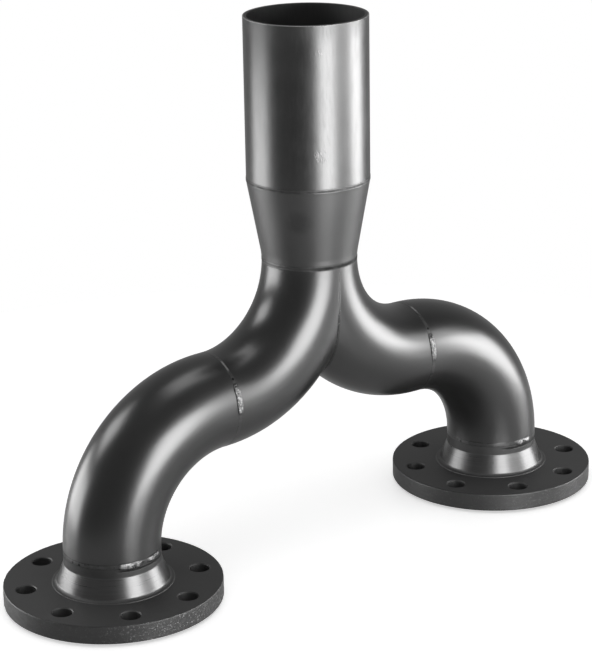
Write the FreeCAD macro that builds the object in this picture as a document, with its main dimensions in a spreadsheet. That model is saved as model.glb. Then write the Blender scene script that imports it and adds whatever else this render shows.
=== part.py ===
import FreeCAD, Part
import math
import os

import Sketcher

# Breeches pipe: one vertical stem that parts into two flanged legs.
#
# The stem and a concentric reducer stand on the Z axis. Below them two
# bends are mitred against each other on the plane X = 0, and each runs on
# through a second bend into a welding neck flange that faces down.
# The legs lie in the XZ plane, the raised faces of both flanges lie on
# Z = 0, and the origin is midway between the two flange axes.

doc = FreeCAD.newDocument("breeches_pipe")

# Driving dimensions, in millimetres and degrees.
DIMENSIONS = [
    # Stem: straight pipe above the reducer
    ("stem_diameter", 114.3),
    ("stem_wall", 3.6),
    ("stem_length", 150.0),
    ("stem_edge_break", 0.4),
    # Concentric reducer, end to end, with a short straight collar each end
    ("reducer_length", 75.0),
    ("reducer_top_collar", 5.0),
    ("reducer_bottom_collar", 10.0),
    ("reducer_knuckle", 20.0),
    # Leg pipe, bent to one radius in all four bends
    ("leg_diameter", 88.9),
    ("leg_wall", 3.2),
    ("bend_radius", 114.5),
    # Butt welds: root gap, unbevelled root face, bevel angle and root bead,
    # with a full cap on the legs and a dressed one above and below the reducer
    ("root_gap", 1.0),
    ("root_face", 1.0),
    ("bevel_angle", 30.0),
    ("root_bead_height", 0.2),
    ("cap_height", 1.1),
    ("dressed_cap_height", 0.3),
    # Mitre weld between the two upper bends
    ("mitre_groove_depth", 1.8),
    ("mitre_groove_width", 3.0),
    ("mitre_cap_height", 0.4),
    # Welding neck flange
    ("flange_diameter", 200.0),
    ("flange_thickness", 20.0),
    ("flange_height", 50.0),
    ("rim_edge_break", 1.0),
    ("raised_face_diameter", 138.0),
    ("raised_face_height", 3.0),
    ("hub_diameter", 105.0),
    ("hub_fillet", 6.0),
    ("neck_length", 10.0),
    ("bolt_circle", 160.0),
    ("bolt_hole", 18.0),
    ("bolt_count", 8),
]

sizes = doc.addObject("Spreadsheet::Sheet", "Sizes")
for row, (alias, number) in enumerate(DIMENSIONS, start=1):
    sizes.set(f"A{row}", alias.replace("_", " "))
    sizes.set(f"B{row}", str(number))
    sizes.setAlias(f"B{row}", alias)
doc.recompute()

# Levels and offsets that follow from the driving dimensions.
LEG_OFFSET = "(2 * Sizes.bend_radius + Sizes.root_gap)"
LOWER_BEND_LEVEL = "(Sizes.flange_height + Sizes.root_gap)"
CROSSOVER_LEVEL = f"({LOWER_BEND_LEVEL} + Sizes.bend_radius)"
UPPER_BEND_LEVEL = f"({CROSSOVER_LEVEL} + Sizes.bend_radius)"
REDUCER_LEVEL = f"({UPPER_BEND_LEVEL} + Sizes.root_gap)"
STEM_LEVEL = f"({REDUCER_LEVEL} + Sizes.reducer_length + Sizes.root_gap)"
HALF_GAP = "Sizes.root_gap / 2"

# Radii that several pieces share.
STEM_OUTER = "(Sizes.stem_diameter / 2)"
STEM_INNER = f"({STEM_OUTER} - Sizes.stem_wall)"
LEG_OUTER = "(Sizes.leg_diameter / 2)"
LEG_INNER = f"({LEG_OUTER} - Sizes.leg_wall)"
BEVEL = "tan(Sizes.bevel_angle * 1deg)"

# How far cutting profiles reach past the metal that they cut.
OVERCUT = 3.0
# Distance under which a point counts as on a plane or circle.
TOUCHING = 1e-4

Y_AXIS = FreeCAD.Vector(0, 1, 0)
Z_AXIS = FreeCAD.Vector(0, 0, 1)
UPRIGHT = FreeCAD.Rotation()
ON_SIDE = FreeCAD.Rotation(Y_AXIS, 90)


def value(expression):
    """Present number of an expression on the sizes."""
    return float(sizes.evalExpression(expression))


def new_body(name, rotation=UPRIGHT, x="0", z="0"):
    """Body turned by rotation and set at X and Z of the breeches pipe."""
    body = doc.addObject("PartDesign::Body", name)
    body.Placement = FreeCAD.Placement(FreeCAD.Vector(), rotation)
    body.setExpression("Placement.Base.x", x)
    body.setExpression("Placement.Base.z", z)
    return body


def new_sketch(body, name, role):
    """Sketch on one of the body's own origin planes."""
    plane = next(item for item in body.Origin.OriginFeatures if item.Role == role)
    sketch = body.newObject("Sketcher::SketchObject", name)
    sketch.AttachmentSupport = (plane, "")
    sketch.MapMode = "FlatFace"
    return sketch


def pin(sketch, geometry, end, across, up):
    """Hold one point of the sketch at two expressions from its origin."""
    for kind, expression in (("DistanceX", across), ("DistanceY", up)):
        held = Sketcher.Constraint(kind, -1, 1, geometry, end, value(expression))
        index = sketch.addConstraint(held)
        sketch.setExpression(f"Constraints[{index}]", expression)


def draw_circle(sketch, diameter, across="0", up="0"):
    """Circle of a given diameter about a pinned centre."""
    centre = FreeCAD.Vector(value(across), value(up), 0)
    circle = sketch.addGeometry(Part.Circle(centre, Z_AXIS, value(diameter) / 2))
    pin(sketch, circle, 3, across, up)
    held = Sketcher.Constraint("Diameter", circle, value(diameter))
    index = sketch.addConstraint(held)
    sketch.setExpression(f"Constraints[{index}]", diameter)


def arc_between(start, end, rise):
    """Arc that stands up by rise on the right hand of the way from start to end."""
    chord = end - start
    half = chord.Length / 2
    radius = (half * half + rise * rise) / (2 * rise)
    right = FreeCAD.Vector(chord.y, -chord.x, 0).normalize()
    centre = (start + end) * 0.5 + right * (rise - radius)
    first = math.atan2(start.y - centre.y, start.x - centre.x)
    last = math.atan2(end.y - centre.y, end.x - centre.x)
    return Part.ArcOfCircle(Part.Circle(centre, Z_AXIS, radius), first, last)


def draw_outline(sketch, corners, domes=None):
    """Closed outline through corners, anticlockwise, each pinned by two expressions.

    domes maps the number of a side to the arc that replaces it: half the
    side's length, and how far the arc stands out.
    """
    domes = domes or {}
    points = [FreeCAD.Vector(value(across), value(up), 0) for across, up in corners]
    count = len(points)
    for side, start in enumerate(points):
        end = points[(side + 1) % count]
        if side in domes:
            sketch.addGeometry(arc_between(start, end, value(domes[side][1])))
        else:
            sketch.addGeometry(Part.LineSegment(start, end))
    for side, (across, up) in enumerate(corners):
        join = Sketcher.Constraint("Coincident", side, 2, (side + 1) % count, 1)
        sketch.addConstraint(join)
        pin(sketch, side, 1, across, up)
    for side, (half, rise) in domes.items():
        radius = f"(({half})^2 + ({rise})^2) / (2 * ({rise}))"
        held = Sketcher.Constraint("Radius", side, value(radius))
        index = sketch.addConstraint(held)
        sketch.setExpression(f"Constraints[{index}]", radius)


def draw_axis(sketch, start, end):
    """Construction line for a turned feature, both ends pinned."""
    points = [FreeCAD.Vector(value(across), value(up), 0) for across, up in (start, end)]
    line = sketch.addGeometry(Part.LineSegment(*points), True)
    pin(sketch, line, 1, *start)
    pin(sketch, line, 2, *end)


def turn(body, kind, name, sketch, axis, angle="360"):
    """Revolution or Groove of a sketch about one of the sketch's axes."""
    feature = body.newObject(f"PartDesign::{kind}", name)
    feature.Profile = sketch
    feature.ReferenceAxis = (sketch, [axis])
    feature.setExpression("Angle", angle)
    body.Tip = feature
    return feature


def edges_where(shape, test):
    """Names of the edges of a shape that pass a test."""
    return [f"Edge{i}" for i, edge in enumerate(shape.Edges, start=1) if test(edge)]


def is_circle(edge, radius, level=None):
    """Whether an edge is a full-size circle of this radius, at this level."""
    if not isinstance(edge.Curve, Part.Circle):
        return False
    same_radius = math.isclose(edge.Curve.Radius, radius, abs_tol=TOUCHING)
    if level is None:
        return same_radius
    return same_radius and math.isclose(edge.Curve.Center.z, level, abs_tol=TOUCHING)


def round_edges(body, name, test, radius):
    """Fillet on the edges of the body's tip that pass a test."""
    doc.recompute()
    base = body.Tip
    feature = body.newObject("PartDesign::Fillet", name)
    feature.Base = (base, edges_where(base.Shape, test))
    feature.setExpression("Radius", radius)
    body.Tip = feature
    return feature


# Straight pipe of the stem, bevelled at its lower end.
def make_stem():
    body = new_body("stem_pipe", z=STEM_LEVEL)
    sketch = new_sketch(body, "stem_section", "XZ_Plane")
    land = f"{STEM_INNER} + Sizes.root_face"
    bevel_top = f"(Sizes.stem_wall - Sizes.root_face) * {BEVEL}"
    top = "Sizes.stem_length"
    broken_top = f"{top} - Sizes.stem_edge_break"
    draw_outline(sketch, [
        (STEM_INNER, "0"),
        (land, "0"),
        (STEM_OUTER, bevel_top),
        (STEM_OUTER, broken_top),
        (f"{STEM_OUTER} - Sizes.stem_edge_break", top),
        (f"{STEM_INNER} + Sizes.stem_edge_break", top),
        (STEM_INNER, broken_top),
    ])
    turn(body, "Revolution", "stem_turned", sketch, "V_Axis")
    return body


# Concentric reducer with even knuckles, bevelled at both ends.
def make_reducer():
    body = new_body("reducer", z=REDUCER_LEVEL)
    sketch = new_sketch(body, "reducer_section", "XZ_Plane")
    length = "Sizes.reducer_length"
    cone_top = f"{length} - Sizes.reducer_top_collar"
    cone_foot = "Sizes.reducer_bottom_collar"
    low_bevel = f"(Sizes.leg_wall - Sizes.root_face) * {BEVEL}"
    high_bevel = f"{length} - (Sizes.stem_wall - Sizes.root_face) * {BEVEL}"
    draw_outline(sketch, [
        (LEG_INNER, "0"),
        (f"{LEG_INNER} + Sizes.root_face", "0"),
        (LEG_OUTER, low_bevel),
        (LEG_OUTER, cone_foot),
        (STEM_OUTER, cone_top),
        (STEM_OUTER, high_bevel),
        (f"{STEM_INNER} + Sizes.root_face", length),
        (STEM_INNER, length),
        (STEM_INNER, cone_top),
        (LEG_INNER, cone_foot),
    ])
    turn(body, "Revolution", "reducer_turned", sketch, "V_Axis")

    foot = value(cone_foot)
    head = value(cone_top)

    def is_knuckle(edge):
        small = is_circle(edge, value(LEG_OUTER), foot) or is_circle(edge, value(LEG_INNER), foot)
        large = is_circle(edge, value(STEM_OUTER), head) or is_circle(edge, value(STEM_INNER), head)
        return small or large

    round_edges(body, "reducer_knuckles", is_knuckle, "Sizes.reducer_knuckle")
    return body


# Ring of weld metal in a V groove: root bead inside, domed cap outside.
# It is turned about its own Z axis, with the middle of the gap at Z = 0.
def make_girth_weld(name, outer, wall, cap, rotation=UPRIGHT, x="0", z="0"):
    body = new_body(name, rotation, x, z)
    sketch = new_sketch(body, f"{name}_section", "XZ_Plane")
    inner = f"({outer} - {wall})"
    land = f"({inner} + Sizes.root_face)"
    half_top = f"({HALF_GAP} + ({wall} - Sizes.root_face) * {BEVEL})"
    draw_outline(sketch, [
        (inner, HALF_GAP),
        (inner, f"-{HALF_GAP}"),
        (land, f"-{HALF_GAP}"),
        (outer, f"-{half_top}"),
        (outer, half_top),
        (land, HALF_GAP),
    ], domes={0: (HALF_GAP, "Sizes.root_bead_height"), 3: (half_top, cap)})
    turn(body, "Revolution", f"{name}_turned", sketch, "V_Axis")
    return body


# Quarter bend about its own Y axis, from its -X end, which looks up, to its
# -Z end, which looks sideways. Both ends are bevelled for welding.
def make_bend(name, rotation, x, z, mitred=False):
    body = new_body(name, rotation, x, z)
    section = new_sketch(body, f"{name}_section", "XY_Plane")
    draw_circle(section, "Sizes.leg_diameter", across="-Sizes.bend_radius")
    draw_circle(section, f"2 * {LEG_INNER}", across="-Sizes.bend_radius")
    bend = turn(body, "Revolution", f"{name}_bent", section, "V_Axis", angle="90")
    bend.Reversed = True

    mitre = None
    if mitred:
        half = new_sketch(body, f"{name}_mitre_section", "XZ_Plane")
        far = f"-(Sizes.bend_radius + {LEG_OUTER} + {OVERCUT})"
        draw_outline(half, [
            (far, far),
            ("-Sizes.bend_radius", far),
            ("-Sizes.bend_radius", f"{OVERCUT}"),
            (far, f"{OVERCUT}"),
        ])
        mitre = body.newObject("PartDesign::Pocket", f"{name}_mitre")
        mitre.Profile = half
        mitre.Type = "ThroughAll"
        mitre.SideType = "Symmetric"
        body.Tip = mitre

    slope_out = f"({LEG_OUTER} + {OVERCUT})"
    slope_in = f"({LEG_INNER} + Sizes.root_face)"
    slope_rise = f"({slope_out} - {slope_in}) * {BEVEL}"
    upper = new_sketch(body, f"{name}_top_bevel_section", "XZ_Plane")
    draw_outline(upper, [
        (f"-Sizes.bend_radius + {slope_in}", "0"),
        (f"-Sizes.bend_radius + {slope_out}", f"-{slope_rise}"),
        (f"-Sizes.bend_radius + {slope_out}", "0"),
    ])
    draw_axis(upper, ("-Sizes.bend_radius", "0"), ("-Sizes.bend_radius", f"-{OVERCUT}"))
    turn(body, "Groove", f"{name}_top_bevel", upper, "Axis0")

    side = new_sketch(body, f"{name}_side_bevel_section", "XZ_Plane")
    draw_outline(side, [
        ("0", f"-Sizes.bend_radius + {slope_in}"),
        ("0", f"-Sizes.bend_radius + {slope_out}"),
        (f"-{slope_rise}", f"-Sizes.bend_radius + {slope_out}"),
    ])
    draw_axis(side, ("0", "-Sizes.bend_radius"), (f"-{OVERCUT}", "-Sizes.bend_radius"))
    turn(body, "Groove", f"{name}_side_bevel", side, "Axis0")
    return body, mitre


# Weld metal of the mitre, still uncut: a V groove and its cap, drawn on the
# top of the upper bends and swept down one side of the mitre's outer edge,
# under the crotch and up the other side.
def make_mitre_sweep(bend, mitre):
    body = new_body("mitre_weld_run")
    curved = [
        (edge.Length, f"Edge{i}")
        for i, edge in enumerate(mitre.Shape.Edges, start=1)
        if abs(edge.CenterOfMass.x + value("Sizes.bend_radius")) < TOUCHING
        and not isinstance(edge.Curve, Part.Line)
    ]
    outer_edge = max(curved)[1]
    spine = body.newObject("PartDesign::SubShapeBinder", "mitre_edge")
    spine.Support = [(bend, (f"{mitre.Name}.{outer_edge}",))]

    section = new_sketch(body, "mitre_weld_section", "XY_Plane")
    section.setExpression("AttachmentOffset.Base.z", UPPER_BEND_LEVEL)
    half_top = "Sizes.mitre_groove_width / 2"
    draw_outline(section, [
        ("0", f"{LEG_OUTER} - Sizes.mitre_groove_depth"),
        (half_top, LEG_OUTER),
        (f"-{half_top}", LEG_OUTER),
    ], domes={1: (half_top, "Sizes.mitre_cap_height")})
    doc.recompute()
    sweep = body.newObject("PartDesign::AdditivePipe", "mitre_weld_swept")
    sweep.Profile = section
    sweep.Spine = (spine, ["Edge1"])
    body.Tip = sweep
    return body


# Welding neck flange, standing on its raised face, with the neck bevelled
# for welding and the bolt holes straddling the plane of the legs.
def make_flange(name, x):
    body = new_body(name, x=x)
    sketch = new_sketch(body, f"{name}_section", "XZ_Plane")
    rim = "(Sizes.flange_diameter / 2)"
    face = "(Sizes.raised_face_diameter / 2)"
    top = "Sizes.flange_thickness"
    neck_foot = "Sizes.flange_height - Sizes.neck_length"
    bevel_foot = f"Sizes.flange_height - (Sizes.leg_wall - Sizes.root_face) * {BEVEL}"
    draw_outline(sketch, [
        (LEG_INNER, "0"),
        (face, "0"),
        (face, "Sizes.raised_face_height"),
        (f"{rim} - Sizes.rim_edge_break", "Sizes.raised_face_height"),
        (rim, "Sizes.raised_face_height + Sizes.rim_edge_break"),
        (rim, f"{top} - Sizes.rim_edge_break"),
        (f"{rim} - Sizes.rim_edge_break", top),
        ("Sizes.hub_diameter / 2", top),
        (LEG_OUTER, neck_foot),
        (LEG_OUTER, bevel_foot),
        (f"{LEG_INNER} + Sizes.root_face", "Sizes.flange_height"),
        (LEG_INNER, "Sizes.flange_height"),
    ])
    turn(body, "Revolution", f"{name}_turned", sketch, "V_Axis")

    def is_hub_foot(edge):
        return is_circle(edge, value("Sizes.hub_diameter / 2"), value(top))

    round_edges(body, f"{name}_hub_fillet", is_hub_foot, "Sizes.hub_fillet")

    spot = new_sketch(body, f"{name}_bolt_spot", "XY_Plane")
    half_pitch = "180deg / Sizes.bolt_count"
    draw_circle(
        spot,
        "Sizes.bolt_hole",
        across=f"Sizes.bolt_circle / 2 * cos({half_pitch})",
        up=f"Sizes.bolt_circle / 2 * sin({half_pitch})",
    )
    hole = body.newObject("PartDesign::Pocket", f"{name}_bolt_hole")
    hole.Profile = spot
    hole.Type = "ThroughAll"
    hole.SideType = "Symmetric"
    body.Tip = hole
    doc.recompute()
    ring = body.newObject("PartDesign::PolarPattern", f"{name}_bolt_holes")
    ring.Originals = [hole]
    ring.Axis = (spot, ["N_Axis"])
    ring.Angle = 360
    ring.setExpression("Occurrences", "Sizes.bolt_count")
    body.Tip = ring
    return body


def cut_away(name, base, tool):
    """Base without the metal that the tool takes."""
    cut = doc.addObject("Part::Cut", name)
    cut.Base = base
    cut.Tool = tool
    return cut


pieces = {}
pieces["stem_pipe"] = make_stem()
pieces["reducer"] = make_reducer()
pieces["stem_weld"] = make_girth_weld(
    "stem_weld",
    STEM_OUTER,
    "Sizes.stem_wall",
    "Sizes.dressed_cap_height",
    z=f"{STEM_LEVEL} - {HALF_GAP}",
)
pieces["throat_weld"] = make_girth_weld(
    "throat_weld",
    LEG_OUTER,
    "Sizes.leg_wall",
    "Sizes.dressed_cap_height",
    z=f"{UPPER_BEND_LEVEL} + {HALF_GAP}",
)

# The two legs are alike, so each is made on the right and turned about Z.
for side, sign, heading in (("left", "-1", 180), ("right", "1", 0)):
    facing = FreeCAD.Rotation(Z_AXIS, heading)
    upper, mitre = make_bend(
        f"{side}_upper_bend", facing, f"{sign} * Sizes.bend_radius", UPPER_BEND_LEVEL, mitred=True)
    pieces[f"{side}_upper_elbow"] = upper
    lower_facing = facing * FreeCAD.Rotation(Y_AXIS, 180)
    lower, _ = make_bend(
        f"{side}_lower_bend",
        lower_facing,
        f"{sign} * (Sizes.bend_radius + Sizes.root_gap)",
        LOWER_BEND_LEVEL,
    )
    pieces[f"{side}_lower_elbow"] = lower
    pieces[f"{side}_elbow_weld"] = make_girth_weld(
        f"{side}_elbow_weld",
        LEG_OUTER,
        "Sizes.leg_wall",
        "Sizes.cap_height",
        ON_SIDE,
        x=f"{sign} * (Sizes.bend_radius + {HALF_GAP})",
        z=CROSSOVER_LEVEL,
    )
    pieces[f"{side}_flange"] = make_flange(f"{side}_flange", f"{sign} * {LEG_OFFSET}")
    pieces[f"{side}_flange_weld"] = make_girth_weld(
        f"{side}_flange_weld",
        LEG_OUTER,
        "Sizes.leg_wall",
        "Sizes.cap_height",
        x=f"{sign} * {LEG_OFFSET}",
        z=f"Sizes.flange_height + {HALF_GAP}",
    )
doc.recompute()

# Weld metal of the mitre takes its groove out of both upper bends, and ends
# against the ring of weld above them.
weld_run = make_mitre_sweep(upper, mitre)
doc.recompute()
pieces["crotch_weld"] = cut_away("crotch_weld", weld_run, pieces["throat_weld"])
for side in ("left", "right"):
    pieces[f"{side}_upper_elbow"] = cut_away(
        f"{side}_upper_elbow", pieces[f"{side}_upper_elbow"], weld_run)
doc.recompute()

for name, piece in pieces.items():
    piece.Label = name

faults = [item.Name for item in doc.Objects if {"Invalid", "Error"} & set(item.State)]
if faults:
    raise RuntimeError(f"These objects failed: {faults}")
for name, piece in pieces.items():
    if piece.Shape.isNull() or not piece.Shape.isValid():
        raise RuntimeError(f"{name} has no sound shape")

os.makedirs("parts", exist_ok=True)
for name, piece in pieces.items():
    piece.Shape.exportStep(f"parts/{name}.step")
    print(name, round(piece.Shape.Volume, 1), len(piece.Shape.Solids), len(piece.Shape.Faces))
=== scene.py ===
import math

import bmesh
import bpy
from mathutils import Matrix, Vector


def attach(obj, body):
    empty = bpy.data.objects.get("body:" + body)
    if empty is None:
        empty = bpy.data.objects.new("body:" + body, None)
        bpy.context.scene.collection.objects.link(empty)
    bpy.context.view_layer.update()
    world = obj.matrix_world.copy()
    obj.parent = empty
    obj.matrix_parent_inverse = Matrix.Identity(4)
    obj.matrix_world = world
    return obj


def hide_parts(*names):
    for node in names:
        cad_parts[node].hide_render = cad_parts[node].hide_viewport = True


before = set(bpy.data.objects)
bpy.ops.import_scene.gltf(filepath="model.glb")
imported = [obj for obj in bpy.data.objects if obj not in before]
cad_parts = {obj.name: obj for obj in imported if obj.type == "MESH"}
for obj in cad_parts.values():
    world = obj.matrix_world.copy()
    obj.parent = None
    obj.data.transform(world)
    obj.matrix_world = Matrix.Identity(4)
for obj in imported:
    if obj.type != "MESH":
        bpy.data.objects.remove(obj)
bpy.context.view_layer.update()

# Sizes of the breeches pipe in metres, as its solids have them.
STEM_RADIUS, STEM_WALL = 0.05715, 0.0036
STEM_FOOT, STEM_TOP = 0.357, 0.507
LEG_RADIUS, LEG_WALL = 0.04445, 0.0032
STEM_BORE, LEG_BORE = STEM_RADIUS - STEM_WALL, LEG_RADIUS - LEG_WALL
BEND_RADIUS = 0.1145
UPPER_BEND_X, UPPER_BEND_Z = 0.1145, 0.280
LOWER_BEND_X, LOWER_BEND_Z = 0.1155, 0.051
REDUCER_FOOT, REDUCER_TOP = 0.281, 0.356
CONE_FOOT, CONE_TOP, KNUCKLE = 0.291, 0.351, 0.020
STEM_SEAM, THROAT_SEAM, NECK_SEAM = 0.3565, 0.2805, 0.0505
ELBOW_SEAM_X, ELBOW_SEAM_Z = 0.115, 0.1655
LEG_X = 0.230
FLANGE_RADIUS, FLANGE_TOP, FLANGE_HEIGHT = 0.100, 0.020, 0.050
FACE_RADIUS, FACE_HEIGHT = 0.069, 0.003
HUB_RADIUS, HUB_TOP = 0.0525, 0.040
BOLT_CIRCLE, BOLT_HOLE, BOLT_COUNT = 0.080, 0.009, 8
ROOT_FACE, ROOT_GAP = 0.001, 0.001
STEM_EDGE_BREAK, RIM_EDGE_BREAK = 0.0004, 0.001
BEVEL_RISE = math.tan(math.radians(30))
STEM_BEVEL, LEG_BEVEL = (STEM_WALL - ROOT_FACE) * BEVEL_RISE, (LEG_WALL - ROOT_FACE) * BEVEL_RISE

# Trim that only the looks have: the land at the hub's foot, its fillet, and more broken edges.
LAND_RADIUS, LAND_HEIGHT, FOOT_FILLET = 0.0557, 0.0005, 0.0037
BORE_EDGE_BREAK, FACE_EDGE_BREAK, HOLE_EDGE_BREAK = 0.0004, 0.0003, 0.0009

MERGE_DISTANCE = 2e-6
SHARP_ANGLE = math.radians(32)

# Where the finishes put the marks of making and wear, and painted gleams and shade. Scuffs also
# have a radius.
STEM_SCUFFS = (((-0.0247, -0.0515, 0.389), 0.0085), ((-0.0255, -0.0511, 0.482), 0.0040))
DULL_BAND_FOOT = 0.486
REDUCER_SMUDGE = (-0.0391, -0.0346, 0.327)
BEAD_PITS = (
    (-0.1150, -0.0336, 0.1947), (-0.1152, -0.0379, 0.1887),
    (0.1152, -0.0350, 0.1929), (0.1148, -0.0393, 0.1864),
    (-0.2742, -0.0035, 0.0500), (-0.2728, -0.0118, 0.0497), (0.1859, -0.0040, 0.0502))
PAINTED_BEAD_GLEAMS = ((-0.1150, -0.0216, 0.2044), (0.1150, -0.0159, 0.2070))
# Between these heights the crotch weld turns from a groove, below, into a flush seam.
GROOVE_END = (0.222, 0.246)
# Between these X the dark line at the throat weld, painted shade over a dark joint, comes in
# towards the right.
THROAT_LINE_START = (-0.036, -0.014)
UNDERCUT_HEIGHT = 0.0459


class Field:
    """A value or colour in a shader or geometry tree, which Python's operators work on."""

    def __init__(self, tree, socket=None):
        self.tree = tree
        self.socket = socket

    def node(self, kind, settings=None, inputs=None, output=0):
        """Any node: its settings first, then the values or links of its sockets."""
        made = self.tree.nodes.new(kind)
        for name, value in (settings or {}).items():
            setattr(made, name, value)
        for name, value in (inputs or {}).items():
            for part in value if isinstance(value, list) else [value]:
                if isinstance(part, Field):
                    self.tree.links.new(part.socket, made.inputs[name])
                else:
                    made.inputs[name].default_value = part
        if isinstance(output, tuple):
            return [Field(self.tree, made.outputs[name]) for name in output]
        return Field(self.tree, made.outputs[output])

    def math(self, operation, *values):
        return self.node("ShaderNodeMath", {"operation": operation}, dict(enumerate(values)))

    def __add__(self, other):
        return self.math("ADD", self, other)

    def __radd__(self, other):
        return self.math("ADD", other, self)

    def __sub__(self, other):
        return self.math("SUBTRACT", self, other)

    def __rsub__(self, other):
        return self.math("SUBTRACT", other, self)

    def __mul__(self, other):
        return self.math("MULTIPLY", self, other)

    def __truediv__(self, other):
        return self.math("DIVIDE", self, other)

    def __pow__(self, other):
        return self.math("POWER", self, other)

    def __abs__(self):
        return self.math("ABSOLUTE", self)

    def least(self, other):
        return self.math("MINIMUM", self, other)

    def most(self, other):
        return self.math("MAXIMUM", self, other)

    def vector(self, operation, *values):
        return self.node("ShaderNodeVectorMath", {"operation": operation}, dict(enumerate(values)))

    def times(self, amount):
        """This vector, longer by the amount."""
        return self.node("ShaderNodeVectorMath", {"operation": "SCALE"}, {0: self, "Scale": amount})

    def distance(self, spot):
        return self.node(
            "ShaderNodeVectorMath", {"operation": "DISTANCE"}, {0: self, 1: spot}, "Value")

    def split(self):
        return self.node("ShaderNodeSeparateXYZ", None, {0: self}, ("X", "Y", "Z"))

    def point(self, x, y, z):
        return self.node("ShaderNodeCombineXYZ", None, {0: x, 1: y, 2: z})

    def ramp(self, low, high, start=0.0, end=1.0):
        """Smooth step from start to end, as this value goes from low to high."""
        inputs = {0: self, 1: low, 2: high, 3: start, 4: end}
        return self.node("ShaderNodeMapRange", {"interpolation_type": "SMOOTHSTEP"}, inputs)

    def noise(self, scale, detail, seed, roughness=0.5):
        """Cloudy noise at this position, from about 0 to 1."""
        return self.node("ShaderNodeTexNoise", {"noise_dimensions": "4D"}, {
            "Vector": self, "W": seed, "Scale": scale, "Detail": detail, "Roughness": roughness})

    def grey(self):
        """This value as a neutral colour."""
        return self.node("ShaderNodeCombineColor", None, {0: self, 1: self, 2: self})


# Finishes. Relief is in metres, and every pattern lies on Object coordinates. A tone is the
# brightness of a neutral colour, and the noise of each pattern has a scale, a detail and a seed.


def start_finish(name):
    finish = bpy.data.materials.new(name)
    finish.use_nodes = True
    finish.node_tree.nodes.clear()
    at = Field(finish.node_tree)
    return finish, at, at.node("ShaderNodeTexCoord", output="Object")


def end_finish(at, tone, roughness, relief, metallic):
    """Steel under a thin dark scale: the less metallic it is, the more the scale scatters light."""
    colour = tone.grey()
    normal = at.node("ShaderNodeBump", None, {"Strength": 1.0, "Distance": 1.0, "Height": relief})
    inputs = {"Base Color": colour, "Metallic": metallic, "Roughness": roughness, "Normal": normal}
    shader = at.node("ShaderNodeBsdfPrincipled", None, inputs)
    at.node("ShaderNodeOutputMaterial", None, {"Surface": shader}, ())


def across(first, second):
    """Length of a flat vector from its two parts."""
    return (first * first + second * second) ** 0.5


def toe_edge(place):
    """How far the ragged edge of a weld's toe lies off its even line."""
    return (place.noise(420.0, 2.0, 3.3) - 0.5) * 0.0012


def toe_strength(place, least):
    """Strength of the dark line at a weld's toe, from least to 1."""
    return place.noise(90.0, 2.0, 4.9).ramp(0.35, 0.65, least, 1.0)


def streaks(place, stretch, scale, seed, thin):
    """Fine scratches along one way: noise that is drawn out along them, thinned to lines."""
    lines = place.vector("MULTIPLY", place, stretch).noise(scale, 1.0, seed)
    return abs(lines - 0.5).ramp(0.0, thin, 1.0, 0.0)


def stem_finish():
    """Mill-finish pipe: dull bore, bright edge on top of bare worn metal and painted highlight,
    duller band below it, two scuffs.
    """
    finish, at, place = start_finish("stem_steel")
    x, y, z = place.split()
    radius = across(x, y)
    bore = radius.ramp(STEM_RADIUS - 0.0018, STEM_RADIUS - 0.0012, 1.0, 0.0)
    outside = radius.ramp(STEM_RADIUS - 0.0010, STEM_RADIUS - 0.0002)
    # Painted highlight, with bare worn metal: the outer edge of the top end is made far paler.
    rim = (z - (STEM_TOP - 0.0006)).ramp(0.0, 0.0003) * outside
    clouds = place.noise(38.0, 4.0, 1.3)
    grain = place.noise(900.0, 3.0, 5.2)
    drawn = streaks(place, (1.0, 1.0, 0.04), 700.0, 2.2, 0.06)
    scuffs = 0.0
    for spot, size in STEM_SCUFFS:
        scuffs = (place.distance(spot) / size).ramp(0.55, 1.0, 1.0, 0.0).most(scuffs)
    scuffs = scuffs * streaks(place, (1.0, 1.0, 0.45), 330.0, 7.7, 0.05)
    dull = (z - DULL_BAND_FOOT).ramp(0.0, 0.018)
    tone = 0.067 + clouds * 0.022 + grain * 0.012 + scuffs * 0.05 + rim * 0.22
    tone = tone * (1.0 - bore * 0.15)
    roughness = 0.27 + clouds * 0.10 + drawn * 0.06
    roughness = roughness + scuffs * 0.10 + dull * 0.06 + bore * 0.30
    relief = place.noise(14.0, 1.0, 3.1) * 0.00045 + grain * 0.000008 + drawn * 0.000002
    relief = relief + scuffs * 0.00006 + bore * grain * 0.00003
    end_finish(at, tone, roughness, relief, 0.82)
    return finish


def reducer_finish():
    """Formed fitting with a dull, even skin, one dark smudge, and a dark line along its foot that
    is partly painted shade.
    """
    finish, at, place = start_finish("reducer_steel")
    clouds = place.noise(30.0, 4.0, 2.7)
    grain = place.noise(1300.0, 3.0, 1.2)
    ragged = (place.noise(120.0, 3.0, 6.6) - 0.5) * 0.010
    smudge = (place.distance(REDUCER_SMUDGE) + ragged).ramp(0.004, 0.0155, 1.0, 0.0)
    x, _, z = place.split()
    # Painted shade: the dark line along the foot is a dark joint line deepened as shade, stronger
    # towards the right.
    toe = z.ramp(REDUCER_FOOT + 0.0016, REDUCER_FOOT + 0.0028, 1.0, 0.0)
    toe = toe * x.ramp(*THROAT_LINE_START, 0.2, 1.0)
    tone = 0.059 + clouds * 0.016 + grain * 0.012 - smudge * 0.017 - toe * 0.030
    roughness = 0.34 + clouds * 0.08 + grain * 0.06
    relief = place.noise(16.0, 1.0, 4.4) * 0.0005 + grain * 0.000012
    end_finish(at, tone, roughness, relief, 0.8)
    return finish


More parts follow.
